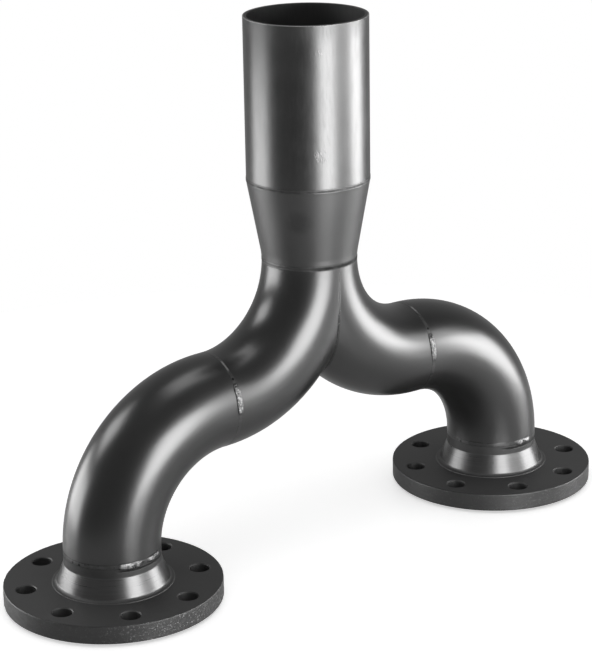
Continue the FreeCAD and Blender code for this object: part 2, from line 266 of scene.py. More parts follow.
def bend_finish():
    """Formed bend, near black and glossy, with dark scale at its welds' toes and painted shade in
    the crease of the crotch.
    """
    finish, at, place = start_finish("bend_steel")
    x, _, z = place.split()
    clouds = place.noise(24.0, 4.0, 9.1)
    grain = place.noise(1100.0, 3.0, 0.4)
    edge = toe_edge(place)
    elbow_toe = (abs(abs(x) - ELBOW_SEAM_X) - edge).ramp(0.0019, 0.0028, 0.55, 0.0)
    neck_toe = (abs(z - NECK_SEAM) - edge).ramp(0.0019, 0.0030, 1.0, 0.0)
    throat_toe = (abs(z - THROAT_SEAM) - edge).ramp(0.0018, 0.0028, 1.0, 0.0)
    toe = elbow_toe.most(neck_toe).most(throat_toe) * toe_strength(place, 0.15)
    # Painted shade: the bends are darkened along the crease where they meet in the crotch, below
    # the groove's end.
    painted_crease_shade = (abs(x) - edge * 1.6).ramp(0.0015, 0.0026, 1.0, 0.0) * z.ramp(*GROOVE_END, 0.8, 0.0)
    toe = toe.most(painted_crease_shade)
    tone = 0.059 + clouds * 0.012 + grain * 0.006 - toe * 0.036
    roughness = 0.25 + clouds * 0.08 + grain * 0.02 + toe * 0.25
    relief = place.noise(13.0, 1.0, 6.1) * 0.0004 + grain * 0.000003
    end_finish(at, tone, roughness, relief, 0.80)
    return finish


def flange_finish():
    """Forged flange: dull black plate, bright turned cone, rough rim, a groove in the neck with
    painted shadow in front.
    """
    finish, at, place = start_finish("flange_steel")
    x, y, z = place.split()
    reach = abs(x) - LEG_X
    radius = across(reach, y)
    clouds = place.noise(45.0, 4.0, 7.3)
    grain = place.noise(1500.0, 3.0, 2.9)
    cone_foot, cone_head = z.ramp(0.0222, 0.0226), z.ramp(0.0395, HUB_TOP, 1.0, 0.0)
    cone = (cone_foot * cone_head) * radius.ramp(0.0415, 0.0425)
    rim = radius.ramp(FLANGE_RADIUS - 0.0010, FLANGE_RADIUS - 0.0006)
    face = z.ramp(0.0002, 0.0006, 1.0, 0.0)
    outboard = reach * at.math("SIGN", x)
    # The rim is rough in front and outboard, more so on the left flange.
    ragged = (place.noise(60.0, 2.0, 4.7) - 0.5) * 0.06
    patch = (outboard * 0.9 - y + ragged).ramp(0.0, 0.11) * x.ramp(-0.10, 0.10, 1.0, 0.2)
    speckle = place.noise(520.0, 4.0, 8.8, 0.7).ramp(0.54, 0.65) * rim * (patch * 0.9 + 0.1)
    edge_line = radius.ramp(FLANGE_RADIUS - 0.0016, FLANGE_RADIUS - 0.0010)
    edge_line = edge_line * z.ramp(FLANGE_TOP - 0.0008, FLANGE_TOP - 0.0003)
    # Painted highlight: a pale line round the edge of the land at the hub's foot.
    foot_line = abs(radius - (LAND_RADIUS - 0.0003)).ramp(0.0005, 0.0011, 1.0, 0.0)
    foot_line = foot_line * z.ramp(FLANGE_TOP - 0.0004, FLANGE_TOP + 0.0002)
    foot_line = foot_line * place.noise(34.0, 2.0, 5.5).ramp(0.35, 0.65, 0.3, 1.0)
    turning = place.vector("MULTIPLY", place, (0.02, 0.02, 1.0)).noise(1500.0, 3.0, 3.7) - 0.5
    ragged = (place.noise(300.0, 2.0, 1.4) - 0.5) * 0.0016
    # Painted shadow: a dark band in front of the neck, below the proud bead, over a shallow groove.
    groove_and_painted_shadow = (abs(z - UNDERCUT_HEIGHT) + ragged).ramp(0.0006, 0.0013, 1.0, 0.0)
    in_front = ((outboard * 0.22 - y * 0.97) / radius).ramp(0.72, 0.86)
    groove_and_painted_shadow = groove_and_painted_shadow * in_front * radius.ramp(0.0420, 0.0430)
    # Turned grooves lie 1.2 mm apart on the cone and 0.8 mm apart on the raised face.
    cone_waves, face_waves = 5200.0, 7854.0
    turned_lines = (at.math("SINE", z * cone_waves) * 0.5 + 0.5) * cone
    face_lines = (at.math("SINE", radius * face_waves) * 0.5 + 0.5) * face
    tone = 0.042 + clouds * 0.012 + grain * 0.008 + cone * (turning * 0.05 + 0.028)
    tone = (tone + speckle * 0.19 + foot_line * 0.04 - edge_line * 0.015) * (1.0 - groove_and_painted_shadow * 0.9)
    roughness = 0.50 - cone * (0.25 - turning * 0.15) + groove_and_painted_shadow * 0.12
    roughness = roughness + clouds * 0.10 - rim * 0.06 + speckle * 0.15
    relief = grain * (0.000012 - cone * 0.000010) + speckle * 0.00016
    relief = relief + (turned_lines + turning * cone * 3.0) * 0.000004
    relief = relief + face_lines * 0.00003 - groove_and_painted_shadow * 0.0003
    end_finish(at, tone, roughness, relief, 0.6)
    return finish


def bead_finish():
    """Weld metal as laid and blackened: like the bends where it is flush, and rough where proud.

    The proud places have bright specks on the elbow beads and a bright smear on the neck beads:
    paler weld metal with a painted highlight.
    Dark pits and, on the elbow beads, one painted gleam of light each stand in places of their own.
    """
    finish, at, place = start_finish("weld_metal")
    x, y, z = place.split()
    reach = abs(x) - LEG_X
    rise = z - ELBOW_SEAM_Z
    low = z.ramp(0.056, 0.060, 1.0, 0.0)  # 1 on the neck beads and 0 on the elbow beads
    at_neck = across(reach, y) * low
    at_elbow = across(rise, y) * (1.0 - low)
    proud = (at_neck + at_elbow - LEG_RADIUS).ramp(0.00010, 0.00090)
    clouds = place.noise(160.0, 3.0, 3.6)
    grain = place.noise(1200.0, 3.0, 4.1)
    smear_and_highlight = place.noise(150.0, 2.0, 8.2).ramp(0.47, 0.57) * low
    specks = (place.noise(400.0, 3.0, 6.9).ramp(0.46, 0.60) * (1.0 - low * 0.5)).most(smear_and_highlight)
    pits = place.noise(300.0, 1.0, 2.4).ramp(0.60, 0.70) * (0.5 + proud * 0.5)
    for spot in BEAD_PITS:
        pits = place.distance(spot).ramp(0.0008, 0.0017, 1.0, 0.0).most(pits)
    edge = toe_edge(place)
    seam = abs(abs(x) - ELBOW_SEAM_X) * (1.0 - low) + abs(z - NECK_SEAM) * low
    # The dark line at the bead's toes is dark scale, and painted shade where the bead meets the
    # pipe.
    toe = (seam + edge).ramp(0.0011, 0.0018) * toe_strength(place, 0.10)
    # Painted highlight: one pale gleam on each elbow bead, at a spot of its own.
    painted_gleam = 0.0
    for spot in PAINTED_BEAD_GLEAMS:
        painted_gleam = place.distance(spot).ramp(0.0040, 0.0080, 1.0, 0.0).most(painted_gleam)
    painted_gleam = painted_gleam * (seam + edge * 0.5).ramp(0.0005, 0.0012, 1.0, 0.0)
    # Painted highlight: the proud places, their specks and the smear are made paler where light
    # catches them, besides paler weld metal.
    tone = 0.060 + clouds * 0.016 + specks * (0.015 + proud * (low * 0.11 + 0.12))
    tone = tone + proud * 0.02 + painted_gleam * 0.15
    tone = tone * (1.0 - toe * (low * 0.30 + 0.35)) * (1.0 - pits * 0.9)
    roughness = 0.27 + clouds * 0.08 + grain * 0.08 + proud * 0.12 + painted_gleam * 0.10
    relief = grain * 0.00002 + (clouds * 0.00025 + specks * 0.00022 - pits * 0.0005) * proud
    end_finish(at, tone, roughness, relief, 0.70)
    return finish


def dressed_finish():
    """Weld metal that is ground nearly flush, with a thin dark line where it meets the pipe, and at
    the throat painted shade that grows towards the right.
    """
    finish, at, place = start_finish("dressed_weld_metal")
    x, _, z = place.split()
    edge = (place.noise(260.0, 3.0, 1.9) - 0.5) * 0.0014
    break_up = place.noise(140.0, 3.0, 7.0).ramp(0.32, 0.60, 0.40, 1.0)
    upper = z.ramp(0.300, 0.330)  # 1 on the stem's bead and 0 on the throat's
    front = x.ramp(*THROAT_LINE_START)
    # Painted shade: at the throat the dark line is wider and darker towards the right.
    throat = (abs(z - THROAT_SEAM) + edge).ramp(0.0005, front * 0.0018 + 0.0012, 1.0, 0.0)
    throat = throat * (front * 0.65 + 0.35)
    stem = (abs(z - STEM_SEAM) + edge).ramp(0.0002, 0.0014, 1.0, 0.0) * 0.60
    line = throat * (1.0 - upper) * (break_up * 0.3 + 0.7) + stem * upper * break_up
    clouds = place.noise(220.0, 3.0, 5.8)
    tone = (0.060 + clouds * 0.020) * (1.0 - line * 0.80)
    roughness = 0.34 + clouds * 0.15 + line * 0.35
    end_finish(at, tone, roughness, line * -0.0003 + clouds * 0.00008, 0.80)
    return finish


def crotch_finish():
    """Weld metal in the crotch: flush and pale above, and lower down a groove darkened with painted
    shade.
    """
    finish, at, place = start_finish("crotch_weld_metal")
    x, _, z = place.split()
    edge = (place.noise(240.0, 3.0, 5.1) - 0.5) * 0.0026
    lower = z.ramp(*GROOVE_END, 1.0, 0.0)
    # Painted shade: the groove lower down in the crotch is darkened.
    line = (abs(x) + edge).ramp(lower * 0.0006 + 0.0004, lower * 0.0014 + 0.0008, 1.0, 0.0)
    line = line * (lower * 0.75 + 0.25)
    specks = place.noise(360.0, 2.0, 6.9).ramp(0.58, 0.68)
    tone = (0.064 + specks * (lower * 0.10 + 0.02)) * (1.0 - line * 0.85 * (1.0 - specks * 0.5))
    roughness = 0.42 + line * 0.30
    end_finish(at, tone, roughness, line * -0.0005 + specks * 0.0002, 0.70)
    return finish


FINISHES = {
    "stem_steel": stem_finish(),
    "reducer_steel": reducer_finish(),
    "bend_steel": bend_finish(),
    "flange_steel": flange_finish(),
    "weld_metal": bead_finish(),
    "dressed_weld_metal": dressed_finish(),
    "crotch_weld_metal": crotch_finish(),
}


# Shapes.


def plain_object(name, mesh):
    piece = bpy.data.objects.new(name, mesh)
    bpy.context.collection.objects.link(piece)
    return piece


def close_up(piece):
    """Merge doubles, point the faces outwards, and shade smooth up to the sharp angle."""
    made = bmesh.new()
    made.from_mesh(piece.data)
    bmesh.ops.remove_doubles(made, verts=made.verts, dist=MERGE_DISTANCE)
    bmesh.ops.dissolve_degenerate(made, dist=1e-7, edges=made.edges)
    bmesh.ops.recalc_face_normals(made, faces=made.faces)
    made.to_mesh(piece.data)
    made.free()
    piece.data.shade_smooth()
    piece.data.set_sharp_from_angle(angle=SHARP_ANGLE)


def rounded(corners, steps=6):
    """Points of an outline through corners (r, z, radius), each made an arc of its radius."""
    outline = []
    for number, (r, z, radius) in enumerate(corners):
        if not radius:
            outline.append((r, z))
            continue
        here = Vector((r, z))
        before = (Vector(corners[number - 1][:2]) - here).normalized()
        after = (Vector(corners[(number + 1) % len(corners)][:2]) - here).normalized()
        half = before.angle(after) / 2
        centre = here + (before + after).normalized() * (radius / math.sin(half))
        first = here + before * (radius / math.tan(half)) - centre
        last = here + after * (radius / math.tan(half)) - centre
        turn = math.atan2(first.x * last.y - first.y * last.x, first.dot(last))
        start = math.atan2(first.y, first.x)
        for step in range(steps + 1):
            angle = start + turn * step / steps
            outline.append(
                (centre.x + radius * math.cos(angle), centre.y + radius * math.sin(angle)))
    return outline


def divided(outline, longest, closed=True):
    """The outline with its long sides divided, and a point near both ends of each."""
    near = 0.0006
    made = []
    for number, (r, z) in enumerate(outline if closed else outline[:-1]):
        next_r, next_z = outline[(number + 1) % len(outline)]
        length = math.hypot(next_r - r, next_z - z)
        shares = [0.0]
        if length > 3 * near:
            parts = max(1, math.ceil(length / longest))
            even = [k / parts for k in range(parts)]
            shares = sorted({0.0, near / length, 1 - near / length, *even})
        made += [(r + (next_r - r) * share, z + (next_z - z) * share) for share in shares]
    return made if closed else made + [outline[-1]]


def turned_mesh(name, outline, around, closed=True):
    """Mesh turned about the Z axis from an outline of (r, z)."""
    points, faces = [], []
    count = len(outline)
    for i in range(around):
        angle = math.tau * i / around
        points += [(r * math.cos(angle), r * math.sin(angle), z) for r, z in outline]
        following = (i + 1) % around
        for j in range(count if closed else count - 1):
            k = (j + 1) % count
            faces.append((
                i * count + j, following * count + j, following * count + k, i * count + k))
    mesh = bpy.data.meshes.new(name)
    mesh.from_pydata(points, [], faces)
    return mesh


def turned(name, outline, finish):
    mesh = turned_mesh(name, outline, 256)
    mesh.materials.append(finish)
    piece = plain_object(name, mesh)
    close_up(piece)
    return piece


def start_tree(name, **sizes):
    """A geometry tree with named inputs: its start, and the field of each input."""
    tree = bpy.data.node_groups.new(name, "GeometryNodeTree")
    sockets = tree.interface
    sockets.new_socket("Geometry", in_out="INPUT", socket_type="NodeSocketGeometry")
    sockets.new_socket("Geometry", in_out="OUTPUT", socket_type="NodeSocketGeometry")
    for label, value in sizes.items():
        kind = "NodeSocketInt" if isinstance(value, int) else "NodeSocketFloat"
        sockets.new_socket(label, in_out="INPUT", socket_type=kind).default_value = value
    sockets.new_socket("finish", in_out="INPUT", socket_type="NodeSocketMaterial")
    entry = tree.nodes.new("NodeGroupInput")
    named = [socket for socket in entry.outputs if socket.name]
    return Field(tree), {socket.name: Field(tree, socket) for socket in named}


def end_tree(at, geometry, size):
    inputs = {"Geometry": geometry, "Distance": MERGE_DISTANCE}
    merged = at.node("GeometryNodeMergeByDistance", None, inputs)
    real = at.node("GeometryNodeRealizeInstances", None, {"Geometry": merged})
    done = at.node("GeometryNodeSetMaterial", None, {"Geometry": real, "Material": size["finish"]})
    at.node("NodeGroupOutput", None, {0: done}, ())
    return at.tree


def grow(name, tree, base=None, **sizes):
    """Plain mesh piece that a geometry tree makes from a base mesh and the sizes of its inputs."""
    piece = plain_object(name, base or bpy.data.meshes.new(name))
    shape = piece.modifiers.new("shape", "NODES")
    shape.node_group = tree
    for item in tree.interface.items_tree:
        if item.in_out == "INPUT" and item.name in sizes:
            shape[item.identifier] = sizes[item.name]
    ready = piece.evaluated_get(bpy.context.evaluated_depsgraph_get())
    made = bpy.data.meshes.new_from_object(ready)
    piece.modifiers.remove(shape)
    piece.data = made
    return piece


def unit_grid(at, along, around):
    """A flat grid, with the share from 0 to 1 along its X and the full turn along its Y."""
    inputs = {"Size X": 1.0, "Size Y": 1.0, "Vertices X": along, "Vertices Y": around}
    grid = at.node("GeometryNodeMeshGrid", None, inputs, "Mesh")
    x, y, _ = at.node("GeometryNodeInputPosition").split()
    return grid, x + 0.5, (y + 0.5) * math.tau


def quarter_bend_tree():
    """A quarter bend about the Y axis, from its end on -X, which is upright, to that on -Z.

    A mitred bend is cut off on the upright plane through the middle of its end on -X.
    """
    at, size = start_tree(
        "quarter_bend",
        bend_radius=0.1, outside=0.04, inside=0.03, mitred=0.0, around=64, along=32)

    def wall(steps, radius_and_share):
        """A grid whose X goes along the bend or across its wall, and whose Y goes round the pipe.

        From the share along X the function gives the radius and the share of the quarter turn.
        """
        grid, share, turn = unit_grid(at, steps, size["around"])
        radius, share = radius_and_share(share)
        reach = size["bend_radius"] + radius * at.math("COSINE", turn)
        start = at.math("ARCCOSINE", (size["bend_radius"] / reach).least(1.0)) * size["mitred"]
        angle = start + (math.pi / 2 - start) * share
        place = at.point(
            reach * at.math("COSINE", angle) * -1.0,
            radius * at.math("SINE", turn),
            reach * at.math("SINE", angle) * -1.0)
        return at.node("GeometryNodeSetPosition", None, {"Geometry": grid, "Position": place})

    outside, inside = size["outside"], size["inside"]
    walls = [
        wall(size["along"], lambda share: (outside, share)),
        wall(size["along"], lambda share: (inside, share)),
        wall(3, lambda share: (outside + (inside - outside) * share, 0.0)),
        wall(3, lambda share: (outside + (inside - outside) * share, 1.0)),
    ]
    return end_tree(at, at.node("GeometryNodeJoinGeometry", None, {"Geometry": walls}), size)


def weld_bead_tree():
    """A weld bead along a seam that lies flat in the XY plane, with crescent ripples.

    It lies flush by the share of its cap that flush gives, and stands proud in three places round
    the pipe, each given by its turn and by its spread to both sides.
    """
    at, size = start_tree(
        "weld_bead",
        half_width=0.002, cap=0.001, root=0.003, ripple_pitch=0.0016, ripple_height=0.0001,
        unevenness=0.2, end_taper=0.0, flush=1.0, first_turn=0.0, first_spread=0.5,
        second_turn=0.0, second_spread=0.2, third_turn=0.0, third_spread=0.2,
        seed=0.0, around=24, along=900)
    grid, share, turn = unit_grid(at, size["along"], size["around"])
    seam = at.node("GeometryNodeMeshToCurve", None, {"Mesh": size["Geometry"]})
    inputs = {"Curves": seam, "Factor": share}
    outputs = ("Position", "Tangent")
    foot, tangent = at.node("GeometryNodeSampleCurve", {"mode": "FACTOR"}, inputs, outputs)
    outward = at.vector("NORMALIZE", at.vector("CROSS_PRODUCT", tangent, (0.0, 0.0, 1.0)))
    length = at.node("GeometryNodeCurveLength", None, {"Curve": seam})
    side, rise = at.math("COSINE", turn), at.math("SINE", turn)
    over, under = rise.most(0.0), rise.least(0.0)
    bow, roundness, widening = -0.35, 0.75, 0.55
    fade_out, fade_in = 0.12, 0.08
    ripples = at.math("ROUND", length / size["ripple_pitch"])
    phase = (share * ripples + side * side * bow) * math.tau
    ripple = (at.math("SINE", phase) * 0.5 + 0.5) * size["ripple_height"]
    wander = (foot.noise(170.0, 2.0, size["seed"]) - 0.5) * size["unevenness"] * 2.0
    lumps = (foot.noise(420.0, 2.0, size["seed"] + 3.0) - 0.5) * size["unevenness"] * 3.0
    foot_x, foot_y, _ = foot.split()
    reach = across(foot_x, foot_y)
    stray = (foot.noise(90.0, 2.0, size["seed"] + 6.0) - 0.5) * 0.25
    rough = 0.0
    for which in ("first", "second", "third"):
        turn_here, spread = size[which + "_turn"], size[which + "_spread"]
        near = (foot_x * at.math("COSINE", turn_here) + foot_y * at.math("SINE", turn_here)) / reach
        outer, inner = at.math("COSINE", spread + fade_out), at.math("COSINE", spread - fade_in)
        rough = (near + stray * 0.4).ramp(outer, inner).most(rough)
    stand = size["flush"] + (1.0 - size["flush"]) * rough
    end = share.least(1.0 - share)
    taper = 1.0 - size["end_taper"] * (1.0 - end.ramp(0.0, 0.08, 0.04, 1.0))
    spill = (1.0 - size["flush"]) * rough * widening
    width = side * size["half_width"] * (1.0 + wander + spill) * taper
    height = (over ** roundness) * (size["cap"] * (1.0 + lumps) + ripple) * stand
    height = (height + under * size["root"]) * taper
    place = at.vector("ADD", foot, outward.times(height))
    place = at.vector("ADD", place, at.point(0.0, 0.0, width))
    bead = at.node("GeometryNodeSetPosition", None, {"Geometry": grid, "Position": place})
    return end_tree(at, bead, size)


def hole_circle_tree():
    """A slice of a round part, repeated round its axis, with a rim that is a little uneven."""
    at, size = start_tree(
        "hole_circle", count=8, first_turn=0.0, rim=0.1, rim_depth=0.0, seed=0.0)
    inputs = {"Count": size["count"], "Position": (0.0, 0.0, 0.0)}
    points = at.node("GeometryNodePoints", None, inputs)
    turn = at.node("GeometryNodeInputIndex") * (math.tau / BOLT_COUNT) + size["first_turn"]
    rotation = at.node("FunctionNodeEulerToRotation", None, {0: at.point(0.0, 0.0, turn)})
    inputs = {"Points": points, "Instance": size["Geometry"], "Rotation": rotation}
    slices = at.node("GeometryNodeInstanceOnPoints", None, inputs)
    whole = at.node("GeometryNodeRealizeInstances", None, {"Geometry": slices})
    place = at.node("GeometryNodeInputPosition")
    x, y, _ = place.split()
    radius = across(x, y)
    hollow = place.noise(330.0, 3.0, size["seed"], 0.6).ramp(0.35, 0.75) * size["rim_depth"]
    hollow = hollow * (radius / size["rim"]).ramp(0.990, 0.9995)
    inward = at.vector("NORMALIZE", at.point(x, y, 0.0)).times(hollow * -1.0)
    rough = at.node("GeometryNodeSetPosition", None, {"Geometry": whole, "Offset": inward})
    return end_tree(at, rough, size)


def flange_slice():
    """The eighth of a welding neck flange round one bolt hole, which lies on the X axis."""
    arc_steps, side_steps = 24, 10
    half = math.pi / BOLT_COUNT
    turns = [half * (2 * k / arc_steps - 1) for k in range(arc_steps + 1)]
    points, faces = [], []

    def strip(rows):
        """Faces between rows of as many points each."""
        first = len(points)
        count = len(rows[0])
        for row in rows:
            points.extend(row)
        for j in range(len(rows) - 1):
            for i in range(count - 1):
                a = first + j * count + i
                faces.append((a, a + 1, a + count + 1, a + count))

    def swept(outline):
        strip([[(r * math.cos(t), r * math.sin(t), z) for t in turns] for r, z in outline])

    def edge(inner, outer):
        """Points round the slice's edge from the inner arc on, as (x, y), and back to the first."""
        radii = [inner + (outer - inner) * k / side_steps for k in range(side_steps + 1)]
        polar = [(inner, t) for t in turns] + [(r, half) for r in radii[1:]]
        polar += [(outer, t) for t in reversed(turns[:-1])]
        polar += [(r, -half) for r in reversed(radii[:-1])]
        return [(r * math.cos(t), r * math.sin(t)) for r, t in polar]

    land_top = FLANGE_TOP + LAND_HEIGHT
    slope = (HUB_RADIUS - LEG_RADIUS) / (HUB_TOP - FLANGE_TOP)
    hub = rounded([
        (LAND_RADIUS, FLANGE_TOP, 0),
        (LAND_RADIUS, land_top, 0.9 * LAND_HEIGHT),
        (HUB_RADIUS - LAND_HEIGHT * slope, land_top, FOOT_FILLET),
        (LEG_RADIUS, HUB_TOP, 0),
        (LEG_RADIUS, FLANGE_HEIGHT - LEG_BEVEL, 0),
        (LEG_BORE + ROOT_FACE, FLANGE_HEIGHT, 0),
        (LEG_BORE, FLANGE_HEIGHT, 0),
        (LEG_BORE, 0.0, BORE_EDGE_BREAK),
        (FACE_RADIUS, 0.0, FACE_EDGE_BREAK),
        (FACE_RADIUS, FACE_HEIGHT, 0),
    ])
    swept(divided(hub, 0.004, closed=False))
    plate_edge = FLANGE_RADIUS - 2 * RIM_EDGE_BREAK
    rim = rounded([
        (plate_edge, FACE_HEIGHT, 0),
        (FLANGE_RADIUS, FACE_HEIGHT, RIM_EDGE_BREAK),
        (FLANGE_RADIUS, FLANGE_TOP, RIM_EDGE_BREAK),
        (plate_edge, FLANGE_TOP, 0),
    ], 4)
    swept(divided(rim, 0.0016, closed=False))
    top_edge = edge(LAND_RADIUS, plate_edge)
    low_edge = edge(FACE_RADIUS, plate_edge)
    hole_turns = [math.atan2(y, x - BOLT_CIRCLE) for x, y in top_edge]

    def ring(radius, z):
        return [(BOLT_CIRCLE + radius * math.cos(t), radius * math.sin(t), z) for t in hole_turns]

    def plate(outer_edge, z):
        """Flat face between the bolt hole and the edge of the slice."""
        inner_ring = ring(BOLT_HOLE + HOLE_EDGE_BREAK, z)
        rows = []
        for share in (0.0, 0.08, 0.3, 0.6, 1.0):
            rows.append([
                (a[0] + (b[0] - a[0]) * share, a[1] + (b[1] - a[1]) * share, z)
                for a, b in zip(inner_ring, outer_edge)])
        strip(rows)

    plate(top_edge, FLANGE_TOP)
    plate(low_edge, FACE_HEIGHT)
    hole_top, hole_foot = FLANGE_TOP - HOLE_EDGE_BREAK, FACE_HEIGHT + HOLE_EDGE_BREAK
    depths = [FLANGE_TOP, hole_top, 0.014, 0.009, hole_foot, FACE_HEIGHT]
    widths = [HOLE_EDGE_BREAK, 0.0, 0.0, 0.0, 0.0, HOLE_EDGE_BREAK]
    strip([ring(BOLT_HOLE + wide, z) for wide, z in zip(widths, depths)])
    mesh = bpy.data.meshes.new("flange_slice")
    mesh.from_pydata(points, [], faces)
    return mesh


def ring_seam(radius):
    """Closed line of a round seam."""
    points, steps = [], 360
    for k in range(steps):
        turn = math.tau * k / steps
        points.append((radius * math.cos(turn), radius * math.sin(turn), 0.0))
    mesh = bpy.data.meshes.new("round_seam")
    mesh.from_pydata(points, [(k, (k + 1) % steps) for k in range(steps)], [])
    return mesh


def crotch_seam():
    """Line where the two upper bends meet, with world Y and Z as its X and Y."""
    points, steps = [], 240
    for k in range(steps + 1):
        turn = math.pi * (k / steps - 0.5)
        reach = BEND_RADIUS + LEG_RADIUS * math.cos(turn)
        drop = math.sqrt(max(0.0, reach * reach - BEND_RADIUS * BEND_RADIUS))
        points.append((LEG_RADIUS * math.sin(turn), UPPER_BEND_Z - drop, 0.0))
    mesh = bpy.data.meshes.new("crotch_seam")
    mesh.from_pydata(points, [(k, k + 1) for k in range(steps)], [])
    return mesh


# Pieces. Each stands for one node of the solids and rides on the one body.


def fit_piece(piece, node, place=None):
    """Put a piece in its place in its own mesh, close it up and let it stand for its node."""
    if place is not None:
        piece.data.transform(place)
    close_up(piece)
    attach(piece, "root")
    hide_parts(node)


def stem():
    outline = rounded([
        (STEM_BORE, STEM_FOOT, 0),
        (STEM_BORE + ROOT_FACE, STEM_FOOT, 0),
        (STEM_RADIUS, STEM_FOOT + STEM_BEVEL, 0),
        (STEM_RADIUS, STEM_TOP, STEM_EDGE_BREAK),
        (STEM_BORE, STEM_TOP, STEM_EDGE_BREAK),
    ])
    piece = turned("stem_tube", divided(outline, 0.010), FINISHES["stem_steel"])
    fit_piece(piece, "stem_pipe")


def reducer():
    """The reducer: outside a nearly plain cone, inside a cone between short collars."""
    outline = rounded([
        (LEG_BORE, REDUCER_FOOT, 0),
        (LEG_BORE + ROOT_FACE, REDUCER_FOOT, 0),
        (LEG_RADIUS, REDUCER_FOOT + LEG_BEVEL, 0),
        (LEG_RADIUS + 0.0006, 0.2875, 0.045),
        (STEM_RADIUS - 0.0003, 0.3530, 0.020),
        (STEM_RADIUS, REDUCER_TOP - STEM_BEVEL, 0),
        (STEM_BORE + ROOT_FACE, REDUCER_TOP, 0),
        (STEM_BORE, REDUCER_TOP, 0),
        (STEM_BORE, CONE_TOP, KNUCKLE),
        (LEG_BORE, CONE_FOOT, KNUCKLE),
    ], 8)
    piece = turned("reducer_cone", divided(outline, 0.010), FINISHES["reducer_steel"])
    fit_piece(piece, "reducer")


def bends():
    tree = quarter_bend_tree()
    half_turn_z = Matrix.Rotation(math.pi, 4, "Z")
    half_turn_y = Matrix.Rotation(math.pi, 4, "Y")
    pipe = {
        "bend_radius": BEND_RADIUS, "outside": LEG_RADIUS, "inside": LEG_BORE,
        "around": 193, "along": 97, "finish": FINISHES["bend_steel"]}
    for side, sign in (("left", -1), ("right", 1)):
        upper = grow(f"{side}_upper_bend", tree, mitred=1.0, **pipe)
        place = Matrix.Translation((sign * UPPER_BEND_X, 0, UPPER_BEND_Z))
        fit_piece(
            upper, f"{side}_upper_elbow",
            place @ (half_turn_z if sign < 0 else Matrix.Identity(4)))
        lower = grow(f"{side}_lower_bend", tree, mitred=0.0, **pipe)
        place = Matrix.Translation((sign * LOWER_BEND_X, 0, LOWER_BEND_Z))
        fit_piece(
            lower, f"{side}_lower_elbow",
            place @ (half_turn_y if sign > 0 else half_turn_y @ half_turn_z))


def flanges():
    tree = hole_circle_tree()
    for side, sign, depth in (("left", -1, 0.00045), ("right", 1, 0.00025)):
        piece = grow(
            f"{side}_neck_flange", tree, flange_slice(), count=BOLT_COUNT,
            first_turn=math.pi / BOLT_COUNT, rim=FLANGE_RADIUS, rim_depth=depth,
            seed=2.0 + sign, finish=FINISHES["flange_steel"])
        place = Matrix.Translation((sign * LEG_X, 0, 0))
        fit_piece(piece, f"{side}_flange", place)


def beads():
    tree = weld_bead_tree()
    facing_x = Matrix(((0, 0, 1, 0), (1, 0, 0, 0), (0, 1, 0, 0), (0, 0, 0, 1)))
    lap = 0.0002  # what a bead lies over the metal at its sides and its root
    dressed = {
        "cap": 0.00020, "ripple_height": 0.00002, "unevenness": 0.10, "along": 720,
        "finish": FINISHES["dressed_weld_metal"]}
    piece = grow(
        "stem_bead", tree, ring_seam(STEM_RADIUS), half_width=ROOT_GAP / 2 + STEM_BEVEL + lap,
        root=STEM_WALL + lap, seed=1.0, **dressed)
    fit_piece(piece, "stem_weld", Matrix.Translation((0, 0, STEM_SEAM)))
    piece = grow(
        "throat_bead", tree, ring_seam(LEG_RADIUS), half_width=ROOT_GAP / 2 + LEG_BEVEL + lap,
        root=LEG_WALL + lap, seed=2.0, **dressed)
    fit_piece(piece, "throat_weld", Matrix.Translation((0, 0, THROAT_SEAM)))
    piece = grow(
        "crotch_bead", tree, crotch_seam(), half_width=0.0014, cap=0.0002, root=0.0020,
        ripple_pitch=0.0016, ripple_height=0.00012, unevenness=0.25, end_taper=1.0, seed=3.0,
        along=900, finish=FINISHES["crotch_weld_metal"])
    fit_piece(piece, "crotch_weld", facing_x)
    laid = {
        "half_width": ROOT_GAP / 2 + LEG_BEVEL + lap, "cap": 0.0011, "root": LEG_WALL + lap,
        "ripple_pitch": 0.0021, "flush": 0.05,
        "along": 1100, "finish": FINISHES["weld_metal"]}
    # Where each bead stands proud: the middle and half the length, in degrees round the pipe.
    rough_places = {
        "left_elbow": ((165, 14), (20, 6), (15, 28)),
        "right_elbow": ((167, 12), (-30, 6), (-20, 24)),
        "left_neck": ((-101, 11), (-66, 7), (60, 30)),
        "right_neck": ((-83, 9), (110, 6), (80, 34))}
    # Each joint's seed, and how high its ripples and how uneven its cap are.
    joints = (("elbow", 5.0, 0.00018, 0.30), ("neck", 9.0, 0.00003, 0.10))
    for side, sign in (("left", -1), ("right", 1)):
        for joint, start, ripples, lumps in joints:
            places = {}
            for which, place in zip(("first", "second", "third"), rough_places[f"{side}_{joint}"]):
                turn, spread = (math.radians(angle) for angle in place)
                places |= {f"{which}_turn": turn, f"{which}_spread": spread}
            piece = grow(
                f"{side}_{joint}_bead", tree, ring_seam(LEG_RADIUS), seed=start + sign,
                ripple_height=ripples, unevenness=lumps, **places, **laid)
            if joint == "elbow":
                place = Matrix.Translation((sign * ELBOW_SEAM_X, 0, ELBOW_SEAM_Z)) @ facing_x
                fit_piece(piece, f"{side}_elbow_weld", place)
            else:
                place = Matrix.Translation((sign * LEG_X, 0, NECK_SEAM))
                fit_piece(piece, f"{side}_flange_weld", place)


stem()
reducer()
bends()
flanges()
beads()


# Camera, floor and light.

CAMERA_BEARING = -127.6
LAMP_POWER = 4.0  # watts for each square metre and unit of radiance
WHITE = (1.0, 1.0, 1.0, 1.0)


